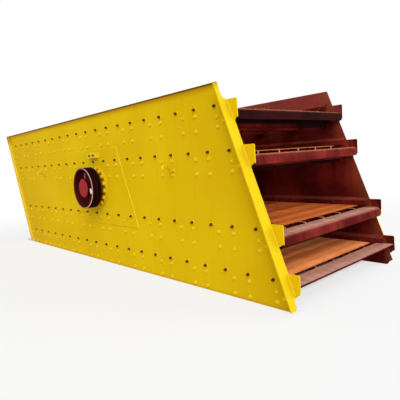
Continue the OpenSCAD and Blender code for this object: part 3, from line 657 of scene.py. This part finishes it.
# Bearing housing bolts: a ring of heavy hexagon heads that clamps each housing, the reinforcing plate and the
# exciter tube's flange together. Yellow like the housing.
housing_t, bolt_circle_r, bolts_per_housing, heavy_head_lift = 0.030, 0.258, 16, 0.004
housing_face = plate_face + doubler_t + housing_t
heavy_head = mesh_of(turned_disc(radius=0.027, height=0.020, lead=0.003, segments=6))
heavy_washer = mesh_of(turned_disc(radius=0.031, height=0.005, lead=0.0015))
housing_bolts = bmesh.new()
for sign in sides.values():
    for k in range(bolts_per_housing):
        angle = 2 * math.pi * (k + 0.5) / bolts_per_housing
        x, z = axis_x + bolt_circle_r * math.cos(angle), axis_z + bolt_circle_r * math.sin(angle)
        stand = facing_y(x, sign * housing_face, z, sign)
        put_copies(housing_bolts, heavy_washer, [stand])
        on_washer = stand @ Matrix.Translation((0, 0, heavy_head_lift))
        put_copies(housing_bolts, heavy_head, [on_washer @ Matrix.Rotation(angle, 4, "Z")])
new_piece("bearing_housing_bolts", housing_bolts, thick_enamel)


# Grease block bolts: two hexagon bolts hold the lid of each block over the exciter. They are plain steel, fitted
# after the spraying, so they have rusted like the clamp nuts.
block_middle = (block_low + block_high) / 2
lid_bolt_x, lid_bolt_turn = 0.055, 0.4
block_bolts = bmesh.new()
for sign in sides.values():
    put_copies(block_bolts, nut_mesh, [
        facing_y(block_middle.x + dx, sign * block_high.y, block_middle.z, sign, lid_bolt_turn)
        for dx in (-lid_bolt_x, lid_bolt_x)])
new_piece("grease_block_bolts", block_bolts, rusty_bolt)


# Drive pulley, flywheel, hub covers and shaft. The wheels are iron castings in dark red enamel: belts have worn the
# grooves dark, and the rim's front ring is painted pale pink towards one side as a painted highlight.
dark_casting, tree, place, normal = new_material("dark_red_enamel_on_cast_iron")
centred = add_node(tree, "Mapping", {"Vector": place, "Location": (-axis_x, 0, -axis_z), "Scale": (1, 0, 1)})
radius = add_node(tree, "VectorMath", [centred], operation="LENGTH")
off_axis = add_node(tree, "SeparateXYZ", [centred]).outputs
cast = add_node(tree, "TexNoise", {"Vector": place, "Scale": 1 / 0.05, "Detail": 4.0})
grooved = add_node(tree, "Mapping", {"Vector": place, "Scale": (1 / 0.3, 1 / 0.012, 1 / 0.3)})
rubber = add_node(tree, "TexNoise", {"Vector": grooved, "Scale": 1.0, "Detail": 3.0})
rubbed_off = add_node(tree, "MapRange", [rubber, 0.35, 0.75], **soft_step)
grooves = stain(tree, linear("#100603"), [(rubbed_off, "#341610")])
outer = add_node(tree, "Math", [radius, 0.259], operation="GREATER_THAN")
# Painted highlight: the front ring turns pale pink towards one side.
lit_side_share = add_node(tree, "MapRange", [off_axis["X"], -0.16, 0.24], **soft_step)
ring_highlight = stain(tree, linear("#8a2426"), [(lit_side_share, "#cf928b")])
aside = add_node(tree, "Math", [add_node(tree, "SeparateXYZ", [place]).outputs["Y"]], operation="ABSOLUTE")
at_end = add_node(tree, "Math", [aside, -pulley_low.y - 0.004], operation="GREATER_THAN")
by_rim = add_node(tree, "Math", [radius, 0.272], operation="GREATER_THAN")
front_ring = add_node(tree, "Math", [at_end, by_rim], operation="MULTIPLY")

# A pale painted highlight, 12 mm wide and 70 mm long, lies on the web over the hub.
line_width = add_node(tree, "Math", [off_axis["X"], -0.085, 0.006], operation="COMPARE")
line_height = add_node(tree, "Math", [off_axis["Z"], 0.165, 0.035], operation="COMPARE")
face_on = add_node(tree, "Math", [add_node(tree, "SeparateXYZ", [normal]).outputs["Y"]], operation="ABSOLUTE")
front = add_node(tree, "Math", [face_on, 0.8], operation="GREATER_THAN")
inner = add_node(tree, "Math", [radius, 0.259], operation="LESS_THAN")
line = 0.8
for limit in (line_width, line_height, front, inner):
    line = add_node(tree, "Math", [line, limit], operation="MULTIPLY")
colour = stain(tree, linear("#2a0a0b"), [
    (cast, "#5a1a18"), (outer, grooves), (front_ring, ring_highlight), (line, "#d8b4ac")])
bump = add_node(tree, "Bump", {"Height": cast, "Strength": 0.2, "Distance": 0.004})
skin = add_node(tree, "BsdfPrincipled", {
    "Base Color": colour, "Roughness": 0.5, "Specular IOR Level": 0.02, "Normal": bump})
add_node(tree, "OutputMaterial", [skin])
finish_nodes(dark_casting, ["drive_pulley", "far_flywheel"])

# A pale oval disc on the pulley's rim stands in for a glint on the rim's inner edge: painted highlight.
glint_paint, tree, place, _ = new_material("pale_painted_glint")
tint = add_node(tree, "TexNoise", {"Vector": place, "Scale": 1 / 0.02, "Detail": 3.0})
skin = add_node(tree, "BsdfPrincipled", {
    "Base Color": stain(tree, linear("#d8bcb6"), [(tint, "#f0e2de")]), "Roughness": 0.6})
add_node(tree, "OutputMaterial", [skin])
glint_angle, glint_circle_r = math.radians(-9), 0.246
glint_x = axis_x + glint_circle_r * math.cos(glint_angle)
glint_z = axis_z + glint_circle_r * math.sin(glint_angle)
oval = Matrix.Diagonal((0.55, 1, 1, 1))
glint_patch = bmesh.new()
put_copies(glint_patch, mesh_of(turned_disc(radius=0.040, height=0.008, lead=0.003)), [
    facing_y(glint_x, pulley_low.y, glint_z, -1) @ oval])
new_piece("rim_painted_glint", glint_patch, glint_paint, "exciter_rotor")

# The hub covers are bright red on their flat faces and dirty on their rims.
red_enamel, tree, place, normal = new_material("bright_red_enamel")
tint = add_node(tree, "TexNoise", {"Vector": place, "Scale": 1 / 0.08, "Detail": 3.0})
coat = stain(tree, linear("#82181a"), [(tint, "#a82826")])
face_on = add_node(tree, "Math", [add_node(tree, "SeparateXYZ", [normal]).outputs["Y"]], operation="ABSOLUTE")
flat = add_node(tree, "Math", [face_on, 0.7], operation="GREATER_THAN")
bump = add_node(tree, "Bump", {"Height": tint, "Strength": 0.1, "Distance": 0.003})
skin = add_node(tree, "BsdfPrincipled", {
    "Base Color": stain(tree, linear("#3a0d0e"), [(flat, coat)]), "Roughness": 0.4, "Specular IOR Level": 0.03,
    "Normal": bump})
add_node(tree, "OutputMaterial", [skin])
finish_nodes(red_enamel, ["hub_covers"])

# The shaft shows fine lathe rings, 4 mm apart, under a film of oil.
turned_steel, tree, place, _ = new_material("turned_steel_with_oil_film")
ringed = add_node(tree, "Mapping", {"Vector": place, "Scale": (1 / 9.0, 1 / 0.004, 1 / 9.0)})
lathe_rings = add_node(tree, "TexNoise", {"Vector": ringed, "Scale": 1.0, "Detail": 2.0})
skin = add_node(tree, "BsdfPrincipled", {
    "Base Color": stain(tree, linear("#4a463f"), [(lathe_rings, "#8c877c")]), "Metallic": 1.0, "Roughness": 0.4})
add_node(tree, "OutputMaterial", [skin])
finish_nodes(turned_steel, ["exciter_shaft"])


# Lifting hooks: bent round bar, 28 mm thick, welded square to the side plates between the beam bolts.
# They rise at 45 degrees and turn down at the nose so that a sling can't slip off.
bar_r, hook_z = 0.014, 1.287


def lifting_hook():
    """A hook that stands on Z = 0, reaches out along Z and rises along Y."""
    root, bend, shank, nose = 0.030, 0.040, 0.060, 0.034
    climb, turn_down = math.radians(45), math.radians(150)
    rise = Vector((0, math.sin(climb), math.cos(climb)))
    underside = Vector((0, -rise.z, rise.y))
    nose_centre = Vector((0, bend, root)) + (bend + nose) * underside + rise * shank
    hook = bmesh.new()
    bmesh.ops.create_circle(hook, cap_ends=True, segments=14, radius=bar_r)
    tip = hook.faces[:]
    for line, centre, angle, steps in (
            (Vector((0, 0, root)), (0, bend, root), -climb, 6), (rise * shank, nose_centre, turn_down, 14)):
        grown = bmesh.ops.extrude_face_region(hook, geom=tip)["geom"]
        bmesh.ops.translate(hook, vec=line, verts=only(bmesh.types.BMVert, grown))
        spun = bmesh.ops.spin(hook, geom=only(bmesh.types.BMFace, grown), cent=centre, axis=(1, 0, 0), angle=angle,
                              steps=steps)
        tip = only(bmesh.types.BMFace, spun["geom_last"])
    rim = [e for f in tip for e in f.edges]
    bmesh.ops.bevel(hook, geom=rim, offset=0.006, affect="EDGES", segments=3, profile=0.5, material=-1)
    bmesh.ops.recalc_face_normals(hook, faces=hook.faces[:])
    for face in hook.faces:
        face.smooth = True
    return mesh_of(hook)


hook_mesh = lifting_hook()
collar_mesh = mesh_of(turned_disc(radius=0.021, height=0.009, lead=0.006, segments=14))
for side in sides:
    low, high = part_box(side + "_lifting_hooks")
    hooks = bmesh.new()
    for x in (low.x + bar_r, high.x - bar_r):
        stand = outward_place(side, x, hook_z)
        if side == "far":
            stand = stand @ Matrix.Rotation(math.pi, 4, "Z")
        put_copies(hooks, hook_mesh, [stand])
        put_copies(hooks, collar_mesh, [stand])
    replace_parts(new_piece(side + "_round_bar_hooks", hooks, thick_enamel), side + "_lifting_hooks")
